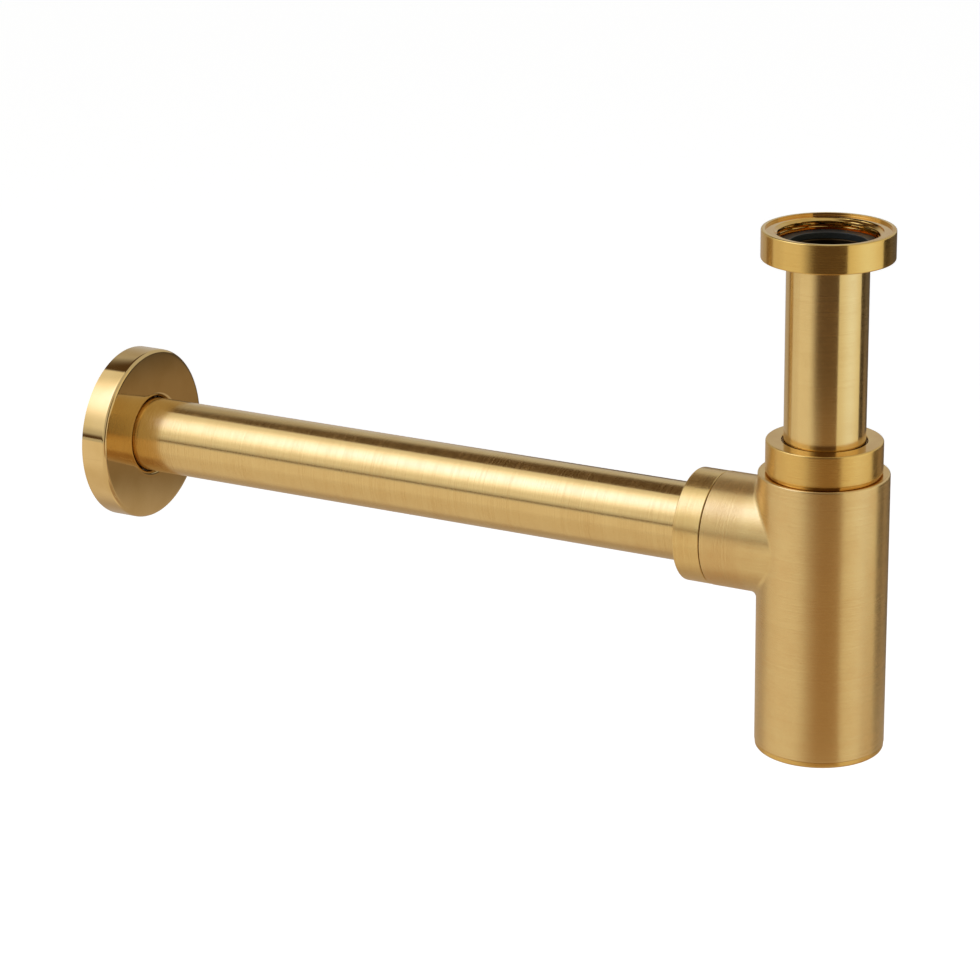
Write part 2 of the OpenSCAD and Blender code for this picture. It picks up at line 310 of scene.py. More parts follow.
class BodyMesh:
    """Collects the points and faces of the trap's body."""

    def __init__(self):
        self.vertices, self.faces, self.uvs = [], [], []
        patch = [PATCH_ANGLE * (2 * k / PATCH_COLUMNS - 1) for k in range(PATCH_COLUMNS + 1)]
        rest_angle = 2 * math.pi - 2 * PATCH_ANGLE
        rest = [PATCH_ANGLE + rest_angle * k / REST_COLUMNS for k in range(1, REST_COLUMNS)]
        self.columns = patch + rest
        self.rim = self.rim_walk()
        self.spokes = self.spoke_angles()

    def rim_walk(self):
        """Grid places (column, row) round the patch, once, from its lower corner at +X."""
        right, top = PATCH_COLUMNS, PATCH_ROWS
        walk = [(right, j) for j in range(top)]
        walk += [(right - i, top) for i in range(right)]
        walk += [(0, top - j) for j in range(top)]
        walk += [(i, 0) for i in range(right)]
        return walk

    def spoke_angles(self):
        """Angle round the branch that goes with each place of the rim, 0 at +X and 90 up."""
        angles = []
        sides = ((-45, PATCH_ROWS), (45, PATCH_COLUMNS), (135, PATCH_ROWS), (225, PATCH_COLUMNS))
        for start, steps in sides:
            angles += [math.radians(start + 90 * k / steps) for k in range(steps)]
        return angles

    def point(self, x, y, z):
        self.vertices.append((x, y, z))
        return len(self.vertices) - 1

    def face(self, corners, uvs):
        self.faces.append(corners)
        self.uvs += uvs

    def bottle_ring(self, r, z, thread=None):
        ring = []
        for angle in self.columns:
            radius = thread.radius(math.pi / 2 - angle, z) if thread else r
            ring.append(self.point(radius * math.sin(angle), radius * math.cos(angle), z))
        return ring

    def branch_ring(self, r, y, thread=None):
        ring = []
        for angle in self.spokes:
            radius = thread.radius(-angle, y) if thread else r
            ring.append(self.point(radius * math.cos(angle), y, OUTLET_Z + radius * math.sin(angle)))
        return ring

    def bridge(self, low, high, skip=()):
        count = len(low)
        for k in range(count):
            if k in skip:
                continue
            n = (k + 1) % count
            u0, u1, v1 = k / count, (k + 1) / count, 1 / UV_LENGTH
            self.face([low[k], low[n], high[n], high[k]], [(u0, 0), (u1, 0), (u1, v1), (u0, v1)])

    def chain(self, first, corners, ring, thread=None):
        """Rings along a path of corners, each bridged to the one before. Returns the last."""
        path = rounded_path(corners, closed=False)
        if thread:
            path = thread.refine(path)
        for r, height in path:
            following = ring(r, height, thread if thread and thread.covers(r, height) else None)
            self.bridge(first, following)
            first = following
        return first

    def tee(self, bottle_r, branch_r, blend, low, high):
        """The wall where the branch runs into the bottle, between two heights of the bottle.
        Returns its bottom ring, its top ring and the ring where the branch starts."""
        heights = [low + (high - low) * j / PATCH_ROWS for j in range(PATCH_ROWS + 1)]
        rows = [self.bottle_ring(bottle_r, z) for z in heights]
        for lower, upper in zip(rows, rows[1:]):
            self.bridge(lower, upper, skip=range(PATCH_COLUMNS))
        seams, arcs = [], []
        for angle in self.spokes:
            seam, arc = self.blend_arc(angle, bottle_r, branch_r, blend)
            seams.append(seam)
            arcs.append(arc)
        previous = [rows[j][i] for i, j in self.rim]
        rim_places = [(self.columns[i], heights[j]) for i, j in self.rim]
        before = rim_places
        for step in range(1, SPOKE_STEPS + 1):
            t = step / SPOKE_STEPS
            places = [(a + (c - a) * t, b + (d - b) * t) for (a, b), (c, d) in zip(rim_places, seams)]
            ring = [self.point(bottle_r * math.sin(a), bottle_r * math.cos(a), z) for a, z in places]
            count = len(ring)
            for k in range(count):
                n = (k + 1) % count
                where = [before[k], before[n], places[n], places[k]]
                self.face([previous[k], previous[n], ring[n], ring[k]],
                          [(a / (2 * math.pi), z / UV_LENGTH) for a, z in where])
            previous, before = ring, places
        for k in range(len(arcs[0])):
            ring = [self.point(arc[k].x, arc[k].y, OUTLET_Z + arc[k].z) for arc in arcs]
            self.bridge(previous, ring)
            previous = ring
        return rows[0], rows[-1], previous

    def blend_arc(self, angle, bottle_r, branch_r, blend):
        """Where a ball that rolls in the corner touches the bottle, as (angle, height), and
        its arc from there to the branch, at an angle round the branch."""
        centre_r = branch_r + blend
        x = centre_r * math.cos(angle)
        centre = Vector((x, math.sqrt((bottle_r + blend) ** 2 - x * x), centre_r * math.sin(angle)))
        to_bottle = -Vector((centre.x, centre.y, 0)).normalized()
        to_branch = -Vector((math.cos(angle), 0, math.sin(angle)))
        touch = centre + to_bottle * blend
        seam = (math.atan2(touch.x, touch.y), OUTLET_Z + touch.z)
        if not blend:
            return seam, []
        arc = arc_between(touch, centre + to_branch * blend, centre, BLEND_STEPS)
        return seam, arc[1:]


def neck(mesh, first, root, end, ring):
    """Relieved root, threaded neck, tapered seat and the start of the bore, from the outside in."""
    low, high = root + NECK_THREAD_START, end - NECK_CHAMFER
    thread = Thread(NECK_R, low, high, PIPE_PITCH, PIPE_THREAD_DEPTH)
    return mesh.chain(first, [
        (NECK_ROOT_R, root, 0), (NECK_ROOT_R, root + NECK_RELIEF, 0), (NECK_R, low, 0),
        (NECK_R, high, 0), (NECK_R - NECK_CHAMFER, end, 0), (SEAT_R, end, 0),
        (SEAT_TIP_R, end - SEAT_DEPTH, 0), (NECK_BORE_R, end - SEAT_DEPTH - SEAT_LEAD, 0),
    ], ring, thread)


# How far the mesh of each T-joint reaches below and above the branch
OUTER_BELOW, OUTER_ABOVE = 5.5, 4.0
INNER_BELOW, INNER_ABOVE = 6, 5


def make_body():
    """The casting. Some of its straight runs get a ring more, which keeps their faces short."""
    mesh = BodyMesh()
    neck_top = body_high.z
    neck_end = body_high.y
    outer_low, outer_high, outer_branch = mesh.tee(
        BODY_R, BRANCH_R, BLEND_R,
        OUTLET_Z - BRANCH_R - OUTER_BELOW, OUTLET_Z + BRANCH_R + OUTER_ABOVE)
    inner_low, inner_high, inner_branch = mesh.tee(
        CAVITY_R, BORE_R, 0,
        OUTLET_Z - BORE_R - INNER_BELOW, OUTLET_Z + BORE_R + INNER_ABOVE)

    # Top of the bottle, its polished collar, its neck and the roof of the chamber
    collar_top = BODY_TOP + COLLAR_HEIGHT
    last = mesh.chain(outer_high, [
        (BODY_R, BODY_TOP - 2, 0), (BODY_R, BODY_TOP, LEDGE_ROUND), (COLLAR_R, BODY_TOP, 0.05),
        (COLLAR_R, collar_top, 0.1), (NECK_ROOT_R, collar_top, 0)], mesh.bottle_ring)
    last = neck(mesh, last, collar_top, neck_top, mesh.bottle_ring)
    roof = BODY_TOP - BODY_WALL
    last = mesh.chain(last, [
        (NECK_BORE_R, neck_top - 5, 0), (NECK_BORE_R, roof, 0.3), (CAVITY_R, roof, 2),
        (CAVITY_R, roof - 4, 0)], mesh.bottle_ring)
    mesh.bridge(last, inner_high)

    # Bottom of the bottle: rim, O-ring seat and plug thread
    seat_r = o_ring_high.x + 0.05
    seat_top = BODY_BOTTOM + O_RING_SEAT_DEPTH
    plug_bore = PLUG_THREAD_R + THREAD_GAP
    thread_low, thread_high = BODY_BOTTOM + PLUG_THREAD_LOW, BODY_BOTTOM + PLUG_THREAD_HIGH
    thread = Thread(plug_bore, thread_low, thread_high, PLUG_PITCH, PLUG_THREAD_DEPTH)
    last = mesh.chain(outer_low, [
        (BODY_R, BODY_BOTTOM + 30, 0), (BODY_R, BODY_BOTTOM, 0.3), (seat_r, BODY_BOTTOM, 0.15),
        (seat_r, seat_top, 0), (plug_bore, seat_top, 0), (plug_bore, thread_low, 0),
        (plug_bore, thread_high, 0), (plug_bore, BODY_BOTTOM + PLUG_BORE_END, 0),
        (CAVITY_R, BODY_BOTTOM + PLUG_CONE_END, 0), (CAVITY_R, BODY_BOTTOM + 20, 0)],
        mesh.bottle_ring, thread)
    mesh.bridge(last, inner_low)

    # End of the branch, its neck, the pipe's bore and its stop
    last = mesh.chain(outer_branch, [
        (BRANCH_R, 32, 0), (BRANCH_R, BRANCH_END, 0.3), (NECK_ROOT_R, BRANCH_END, 0)], mesh.branch_ring)
    last = neck(mesh, last, BRANCH_END, neck_end, mesh.branch_ring)
    last = mesh.chain(last, [
        (NECK_BORE_R, neck_end - 5, 0), (NECK_BORE_R, PIPE_STOP, 0), (BORE_R, PIPE_STOP, 0.2),
        (BORE_R, PIPE_STOP - 1, 0)], mesh.branch_ring)
    mesh.bridge(last, inner_branch)
    return new_piece("trap_body_casting", mesh.vertices, mesh.faces, mesh.uvs)


def compression_nut(name, outer_r, low, high, place):
    """Round nut: lip at its far end, female thread, rounded edges."""
    bore_r = NECK_R + THREAD_GAP
    hole_r = TUBE_R + NUT_HOLE_GAP
    thread_low, thread_high = low + NUT_CHAMFER, high - NUT_LIP
    thread = Thread(bore_r, thread_low, thread_high, PIPE_PITCH, NUT_THREAD_DEPTH)
    return turned(name, rounded_path([
        (bore_r + NUT_CHAMFER, low, 0), (outer_r, low, 0.35), (outer_r, high, 0.7), (hole_r, high, 0.5),
        (hole_r, thread_high, 0), (bore_r, thread_high, 0), (bore_r, thread_low, 0)]), place, thread)


def make_plug():
    """Plug with its threaded skirt and O-ring groove; the coin slot is cut afterwards."""
    low, high = plug_low.z, plug_high.z
    rim_top = BODY_BOTTOM - 0.05
    groove_r, skirt_r = 22.8, 20.7
    groove_top = BODY_BOTTOM + 2.1
    floor_top = low + 3.4
    chamfer, slot_depth = 0.8, 1.6
    thread_low, thread_high = groove_top + 0.6, high - chamfer
    thread = Thread(PLUG_THREAD_R, thread_low, thread_high, PLUG_PITCH, PLUG_THREAD_DEPTH)
    plug = turned("cleaning_plug_body", rounded_path([
        (0, low, 0), (plug_high.x, low, 1.0), (plug_high.x, rim_top, 0.12), (groove_r, rim_top, 0),
        (groove_r, groove_top, 0), (PLUG_THREAD_R, thread_low, 0), (PLUG_THREAD_R, thread_high, 0),
        (PLUG_THREAD_R - chamfer, high, 0), (skirt_r, high, 0.2), (skirt_r, floor_top, 0.5),
        (0, floor_top, 0),
    ]), thread=thread)
    cut_slot(plug, low - 1, low + slot_depth)
    return plug


def cut_slot(plug, low, high):
    """Cuts the round-ended coin slot between two heights."""
    slot_length, slot_r, end_steps = 34, 1.6, 16
    outline = []
    for side in (1, -1):
        for k in range(end_steps + 1):
            turn = math.pi * (k / end_steps - 0.5)
            reach = slot_length / 2 - slot_r + slot_r * math.cos(turn)
            outline.append((side * reach, side * slot_r * math.sin(turn)))
    count = len(outline)
    vertices = [(x, y, z) for z in (low, high) for x, y in outline]
    faces = [list(range(count)), list(range(count, 2 * count))]
    faces += [[k, (k + 1) % count, count + (k + 1) % count, count + k] for k in range(count)]
    cutter = new_piece("slot_cutter", vertices, faces)
    cut = plug.modifiers.new("coin_slot", "BOOLEAN")
    cut.operation = "DIFFERENCE"
    cut.solver = "EXACT"
    cut.object = cutter
    graph = bpy.context.evaluated_depsgraph_get()
    cut_mesh = bpy.data.meshes.new_from_object(plug.evaluated_get(graph))
    plug.modifiers.clear()
    plug.data = cut_mesh
    bpy.data.objects.remove(cutter)


def make_flange():
    """Pressed flange: rim, fold, domed face, rolled lip at the hole and a short collar, with
    heights counted from the wall."""
    wall_y = flange_high.y
    outer_r, thickness = flange_high.x, 0.9
    fold, roll, dome, collar = 1.75, 2.0, 1.0, 3.2
    face_r = outer_r - fold
    face_height = wall_y - flange_low.y
    hole_r = TUBE_R + 0.25
    lip_r = TUBE_R + 0.4 + roll
    edge_height = face_height - dome * (1 - (lip_r / face_r) ** 2)
    middle_steps = 14

    def height(r):
        return edge_height + dome * (1 - (r / face_r) ** 2)

    def skin(inset):
        points = [Vector((outer_r - inset, 0)), Vector((outer_r - inset, SUPPORT))]
        for centre, radius, start in ((Vector((face_r, height(face_r) - fold)), fold - inset, 0),
                                      (Vector((lip_r, height(lip_r) - roll)), roll - inset, 90)):
            if start:
                radii = [face_r + (lip_r - face_r) * k / middle_steps for k in range(1, middle_steps)]
                points += [Vector((r, height(r) - inset)) for r in radii]
            for k in range(2 * ARC_STEPS + 1):
                turn = math.radians(start + 90 * k / (2 * ARC_STEPS))
                points.append(centre + radius * Vector((math.cos(turn), math.sin(turn))))
        points.append(Vector((hole_r + inset, height(lip_r) - roll - collar)))
        return points

    def from_wall(x, y, h):
        return x, wall_y - h, OUTLET_Z + y

    return turned("pressed_flange", skin(0) + skin(thickness)[::-1], from_wall)


# Materials

def linear(hex_colour):
    """Linear RGBA of an sRGB hex colour."""
    values = [int(hex_colour[i:i + 2], 16) / 255 for i in (1, 3, 5)]
    return tuple(v / 12.92 if v <= 0.04045 else ((v + 0.055) / 1.055) ** 2.4 for v in values) + (1.0,)


def add(tree, kind, inputs=None, **settings):
    """Adds a node, sets it and links or fills its inputs."""
    made = tree.nodes.new(kind)
    for key, value in settings.items():
        setattr(made, key, value)
    for key, value in (inputs or {}).items():
        if isinstance(value, bpy.types.NodeSocket):
            tree.links.new(value, made.inputs[key])
        else:
            made.inputs[key].default_value = value
    return made


def new_material(name):
    material = bpy.data.materials.new(name)
    material.use_nodes = True
    material.node_tree.nodes.clear()
    return material, material.node_tree


# Brushed brass. The marks of a fine grit, about 60 to a millimetre, are too fine to show one
# by one in the render and work together as a mirror and a matt finish in one. The few lines
# that the eye can follow are drawn as coarse as they need to show.
GRIT_PER_MM = 60
BRUSH_PER_MM = 2.4
# The lines of the branch and the side nut are twice as fine
FINER = 2
# Along a line, the brush changes this often
CHANGES_PER_MM = 0.004
GROOVE_ROUGHNESS = 0.6
CLOUD_SHARE, LINE_SHARE = 0.12, 0.02
# The middle of clouds, lines and grit together, how far the grit spreads round it, and how
# soft the change from crest to groove is
WORN_MIDDLE, GRIT_SPREAD, EDGE_SOFTNESS = 0.575, 0.22, 0.05
LINE_STRENGTH, LINE_DEPTH = 0.3, 0.0004
ANISOTROPY, QUARTER_TURN = 0.55, 0.25
# Where the lines of the casting turn from round the bottle to round the branch, and how much
# more matt the branch is
TURN_START, TURN_END = 24, 28
BRANCH_MATT = 0.03


def line_noise(tree, place, axis, per_mm):
    """Lines that run round a piece whose axis is Y or Z: noise, stretched across the axis."""
    scale = [CHANGES_PER_MM / MM] * 3
    scale[axis] = per_mm / MM
    at = add(tree, "ShaderNodeMapping", {"Vector": place, "Scale": scale})
    return add(tree, "ShaderNodeTexNoise", {
        "Vector": at.outputs[0], "Scale": 1.0, "Detail": 2.0, "Roughness": 0.6}).outputs["Fac"]


def brass(name, pale, deep, crest_roughness, lines_for, groove_share, cloud_mm):
    """Gold-tone brass with lines round the piece, which draw each reflection out along its
    axis. Crests between the marks of the grit mirror the room, and matt grooves, deeper in
    colour, soften that. Soft clouds of wear and the coarser lines shift the share of the two."""
    material, tree = new_material(name)
    place = add(tree, "ShaderNodeTexCoord").outputs["Object"]
    grit = lines_for(tree, place, GRIT_PER_MM)
    lines = lines_for(tree, place, BRUSH_PER_MM)
    clouds = add(tree, "ShaderNodeTexNoise", {
        "Vector": place, "Scale": 1 / (cloud_mm * MM), "Detail": 3.0}).outputs["Fac"]
    worn = add(tree, "ShaderNodeMath", {
        0: clouds, 1: CLOUD_SHARE, 2: grit}, operation="MULTIPLY_ADD").outputs[0]
    worn = add(tree, "ShaderNodeMath", {
        0: lines, 1: LINE_SHARE, 2: worn}, operation="MULTIPLY_ADD").outputs[0]
    edge = WORN_MIDDLE + GRIT_SPREAD * (0.5 - groove_share)
    grooves = add(tree, "ShaderNodeMapRange", {
        "Value": worn, "From Min": edge - EDGE_SOFTNESS, "From Max": edge + EDGE_SOFTNESS}).outputs[0]
    colour = add(tree, "ShaderNodeMix", {
        0: grooves, 6: linear(pale), 7: linear(deep)}, data_type="RGBA")
    rough = add(tree, "ShaderNodeMapRange", {
        "Value": grooves, "To Min": crest_roughness, "To Max": GROOVE_ROUGHNESS})
    bump = add(tree, "ShaderNodeBump", {
        "Height": lines, "Strength": LINE_STRENGTH, "Distance": LINE_DEPTH * MM})
    tangent = add(tree, "ShaderNodeTangent", direction_type="UV_MAP", uv_map="turning")
    shader = add(tree, "ShaderNodeBsdfPrincipled", {
        "Base Color": colour.outputs[2], "Metallic": 1.0, "Roughness": rough.outputs[0],
        "Anisotropic": ANISOTROPY, "Anisotropic Rotation": QUARTER_TURN,
        "Normal": bump.outputs[0], "Tangent": tangent.outputs[0]})
    add(tree, "ShaderNodeOutputMaterial", {"Surface": shader.outputs[0]})
    return material


def upright_lines(tree, place, per_mm):
    return line_noise(tree, place, 2, per_mm)


def level_lines(tree, place, per_mm):
    return line_noise(tree, place, 1, per_mm)


def fine_level_lines(tree, place, per_mm):
    return line_noise(tree, place, 1, FINER * per_mm)


def casting_lines(tree, place, per_mm):
    """Round the bottle and, past the blend, finer ones round the branch, which has more matt
    grooves."""
    along = add(tree, "ShaderNodeSeparateXYZ", {"Vector": place}).outputs["Y"]
    on_branch = add(tree, "ShaderNodeMapRange", {
        "Value": along, "From Min": TURN_START * MM, "From Max": TURN_END * MM}).outputs[0]
    lines = add(tree, "ShaderNodeMix", {
        0: on_branch, 2: upright_lines(tree, place, per_mm),
        3: fine_level_lines(tree, place, per_mm)}).outputs[0]
    return add(tree, "ShaderNodeMath", {
        0: on_branch, 1: BRANCH_MATT, 2: lines}, operation="MULTIPLY_ADD").outputs[0]


HAZE_MM = 14
# Hairlines of the wheel: how many to a millimetre along X, Y and Z, and their slant
HAIR_PER_MM, HAIR_SLANT = (0.25, 0.2, 3), 0.5
HAIR_DEPTH = 0.002
GRAIN_DEPTH = 0.02
MOULDED_IOR = 1.5


def mottled(tree, place, grain_mm, dark, light, reach):
    """Noise with grains of one size, and the colour that it turns from dark to light."""
    noise = add(tree, "ShaderNodeTexNoise", {
        "Vector": place, "Scale": 1 / (grain_mm * MM), "Detail": 4.0}).outputs["Fac"]
    colour = add(tree, "ShaderNodeValToRGB", {"Fac": noise})
    for stop, position, tone in zip(colour.color_ramp.elements, reach, (dark, light)):
        stop.position = position
        stop.color = linear(tone)
    return noise, colour.outputs["Color"]


def buffed_brass(name, pale, deep, roughness):
    """Brass buffed on a soft wheel: near a mirror, with a faint haze and fine hairlines."""
    material, tree = new_material(name)
    place = add(tree, "ShaderNodeTexCoord").outputs["Object"]
    haze, colour = mottled(tree, place, HAZE_MM, deep, pale, (0.35, 0.6))
    hair_at = add(tree, "ShaderNodeMapping", {
        "Vector": place, "Scale": [per_mm / MM for per_mm in HAIR_PER_MM],
        "Rotation": (0, HAIR_SLANT, 0)})
    hair = add(tree, "ShaderNodeTexNoise", {"Vector": hair_at.outputs[0], "Scale": 1.0, "Detail": 3.0})
    rough = add(tree, "ShaderNodeMapRange", {
        "Value": haze, "From Min": 0.3, "From Max": 0.7,
        "To Min": roughness * 0.7, "To Max": roughness * 1.3})
    bump = add(tree, "ShaderNodeBump", {
        "Height": hair.outputs["Fac"], "Strength": 0.15, "Distance": HAIR_DEPTH * MM})
    shader = add(tree, "ShaderNodeBsdfPrincipled", {
        "Base Color": colour, "Metallic": 1.0, "Roughness": rough.outputs[0], "Normal": bump.outputs[0]})
    add(tree, "ShaderNodeOutputMaterial", {"Surface": shader.outputs[0]})
    return material


def moulded(name, dark, light, roughness, grain_mm):
    """Moulded rubber or plastic with a fine grain and a slightly uneven sheen."""
    material, tree = new_material(name)
    place = add(tree, "ShaderNodeTexCoord").outputs["Object"]
    grain, colour = mottled(tree, place, grain_mm, dark, light, (0.3, 0.7))
    rough = add(tree, "ShaderNodeMapRange", {
        "Value": grain, "From Min": 0.3, "From Max": 0.7,
        "To Min": roughness - 0.08, "To Max": roughness + 0.08})
    bump = add(tree, "ShaderNodeBump", {
        "Height": grain, "Strength": 0.4, "Distance": GRAIN_DEPTH * MM})
    shader = add(tree, "ShaderNodeBsdfPrincipled", {
        "Base Color": colour, "Roughness": rough.outputs[0], "Normal": bump.outputs[0],
        "IOR": MOULDED_IOR})
    add(tree, "ShaderNodeOutputMaterial", {"Surface": shader.outputs[0]})
    return material


# Stage: floor, world, and soft boxes and flags cut out of a dome round the object

FLOOR_Z = -560
FLOOR_REACH = 7000
FLOOR_CENTRE = (0, 300)
WORLD_LIGHT, WORLD_IN_MIRROR = 0.45, 0.62
DOME_CENTRE = Vector((0, 0, -130))
DOME_R = 1300
LAYER_GAP = 25
NEAR_LAYER = 40
PATCH_STEP = 5
HOT_FALL_OFF = 3.0


def dome_point(bearing, rise, radius):
    """Point of the dome at a bearing (0 at +Y, 90 at +X) and an angle above the horizon,
    kept over the floor."""
    if rise < 0:
        floor_depth = (DOME_CENTRE.z - FLOOR_Z) * radius / (DOME_R + 1)
        radius = min(radius, floor_depth / math.sin(math.radians(-rise)))
    return DOME_CENTRE + radius * toward(bearing, rise)


def toward(bearing, rise):
    b, e = math.radians(bearing), math.radians(rise)
    return Vector((math.sin(b) * math.cos(e), math.cos(b) * math.cos(e), math.sin(e)))


def steps_between(low, high):
    count = max(1, math.ceil((high - low) / PATCH_STEP))
    return [low + (high - low) * k / count for k in range(count + 1)]


def dome_mesh(name, radius, columns, rows):
    """Grid over part of a dome, with its bearings and angles above the horizon as UVs."""
    points = [dome_point(b, e, radius) * MM for e in rows for b in columns]
    width = len(columns)
    faces = [[j * width + i, j * width + i + 1, (j + 1) * width + i + 1, (j + 1) * width + i]
             for j in range(len(rows) - 1) for i in range(width - 1)]
    mesh = bpy.data.meshes.new(name)
    mesh.from_pydata(points, [], faces)
    degrees = mesh.uv_layers.new(name="degrees")
    for loop in mesh.loops:
        j, i = divmod(loop.vertex_index, width)
        degrees.data[loop.index].uv = (columns[i], rows[j])
    return mesh


def brighten_middle(tree, glow, colour, strength, hot):
    """Makes a glow stronger round one direction of the dome."""
    bearing, rise, reach, hot_colour, hot_strength = hot
    place = add(tree, "ShaderNodeTexCoord").outputs["Object"]
    away = add(tree, "ShaderNodeVectorMath", {0: place, 1: DOME_CENTRE * MM}, operation="SUBTRACT")
    away = add(tree, "ShaderNodeVectorMath", {0: away.outputs[0]}, operation="NORMALIZE")
    nearness = add(tree, "ShaderNodeVectorMath", {
        0: away.outputs[0], 1: toward(bearing, rise)}, operation="DOT_PRODUCT").outputs["Value"]
    share = add(tree, "ShaderNodeMapRange", {
        "Value": nearness, "From Min": math.cos(math.radians(reach)), "From Max": 1.0})
    share = add(tree, "ShaderNodeMath", {
        0: share.outputs[0], 1: HOT_FALL_OFF}, operation="POWER").outputs[0]
    level = add(tree, "ShaderNodeMapRange", {
        "Value": share, "To Min": strength, "To Max": hot_strength})
    tint = add(tree, "ShaderNodeMix", {
        0: share, 6: linear(colour), 7: linear(hot_colour)}, data_type="RGBA")
    tree.links.new(level.outputs[0], glow.inputs["Strength"])
    tree.links.new(tint.outputs[2], glow.inputs["Color"])


def edge_cover(tree, bearings, rises, fade):
    """How far a patch covers what is behind it: less towards the edges that thin out."""
    degrees = add(tree, "ShaderNodeUVMap", uv_map="degrees").outputs[0]
    split = add(tree, "ShaderNodeSeparateXYZ", {"Vector": degrees})
    across, up = split.outputs["X"], split.outputs["Y"]
    edges = ((across, bearings[0], 1, fade[0]), (across, bearings[1], -1, fade[1]),
             (up, rises[0], 1, fade[2]), (up, rises[1], -1, fade[3]))
    cover = None
    for value, edge, inward, reach in edges:
        if not reach:
            continue
        part = add(tree, "ShaderNodeMapRange", {
            "Value": value, "From Min": edge, "From Max": edge + inward * reach},
            interpolation_type="SMOOTHSTEP").outputs[0]
        if cover:
            part = add(tree, "ShaderNodeMath", {0: cover, 1: part}, operation="MULTIPLY").outputs[0]
        cover = part
    return cover


def dome_patch(name, layer, bearings, rises, colour, strength=1.0, fade=None, hot=None, lights=False):
    """Part of a dome between two bearings and two angles above the horizon: a soft box if it
    lights, else a flag that shows in reflections alone. A higher layer is nearer and hides a
    lower one. fade is the degrees over which its left, right, low and high edges thin out,
    and hot its brighter middle: bearing, rise, reach in degrees, colour and strength."""
    radius = DOME_R - LAYER_GAP * layer
    mesh = dome_mesh(name, radius, steps_between(*bearings), steps_between(*rises))
    patch = bpy.data.objects.new(name, mesh)
    bpy.context.scene.collection.objects.link(patch)
    material, tree = new_material(name)
    glow = add(tree, "ShaderNodeEmission", {"Color": linear(colour), "Strength": strength})
    if hot:
        brighten_middle(tree, glow, colour, strength, hot)
    surface = glow.outputs[0]
    if fade:
        clear = add(tree, "ShaderNodeBsdfTransparent").outputs[0]
        cover = edge_cover(tree, bearings, rises, fade)
        surface = add(tree, "ShaderNodeMixShader", {0: cover, 1: clear, 2: surface}).outputs[0]
    add(tree, "ShaderNodeOutputMaterial", {"Surface": surface})
    mesh.materials.append(material)
    patch.visible_camera = False
    patch.visible_shadow = False
    patch.visible_diffuse = lights
    return patch


def seen_in_mirror(tree, path):
    """1 for a ray that a mirror or glass has sent on, else 0."""
    return add(tree, "ShaderNodeMath", {
        0: path.outputs["Is Glossy Ray"], 1: path.outputs["Is Transmission Ray"]},
        operation="MAXIMUM").outputs[0]


def ground(name, z, size, centre, colour, camera_glow, mirror_glow):
    """Pale floor. It glows a little for camera, mirror and glass rays, so that it shows white
    and still keeps the object's shadow."""
    mesh = bpy.data.meshes.new(name)
    x, y = centre
    corners = [(x + side * size, y + end * size, z) for side, end in ((-1, -1), (1, -1), (1, 1), (-1, 1))]
    mesh.from_pydata([Vector(c) * MM for c in corners], [], [(0, 1, 2, 3)])
    floor = bpy.data.objects.new(name, mesh)
    bpy.context.scene.collection.objects.link(floor)
    material, tree = new_material(name)
    path = add(tree, "ShaderNodeLightPath")
    mirror_part = add(tree, "ShaderNodeMath", {
        0: seen_in_mirror(tree, path), 1: mirror_glow}, operation="MULTIPLY").outputs[0]
    strength = add(tree, "ShaderNodeMath", {
        0: path.outputs["Is Camera Ray"], 1: camera_glow, 2: mirror_part},
        operation="MULTIPLY_ADD").outputs[0]
    matt = add(tree, "ShaderNodeBsdfDiffuse", {"Color": linear(colour)})
    glow = add(tree, "ShaderNodeEmission", {"Color": linear("#FFFFFF"), "Strength": strength})
    both = add(tree, "ShaderNodeAddShader", {0: matt.outputs[0], 1: glow.outputs[0]})
    add(tree, "ShaderNodeOutputMaterial", {"Surface": both.outputs[0]})
    mesh.materials.append(material)
    return floor


def make_world():
    """White for the camera, and a plain level of light for the object and its reflections."""
    world = bpy.data.worlds.new("studio")
    world.use_nodes = True
    tree = world.node_tree
    tree.nodes.clear()
    path = add(tree, "ShaderNodeLightPath")
    plain = add(tree, "ShaderNodeMapRange", {
        "Value": seen_in_mirror(tree, path), "To Min": WORLD_LIGHT, "To Max": WORLD_IN_MIRROR}).outputs[0]
    strength = add(tree, "ShaderNodeMapRange", {
        "Value": path.outputs["Is Camera Ray"], "To Min": plain, "To Max": 1.0}).outputs[0]
    glow = add(tree, "ShaderNodeBackground", {"Color": linear("#FFFFFF"), "Strength": strength})
    add(tree, "ShaderNodeOutputWorld", {"Surface": glow.outputs[0]})
    bpy.context.scene.world = world
    bpy.context.scene.view_settings.view_transform = "Standard"


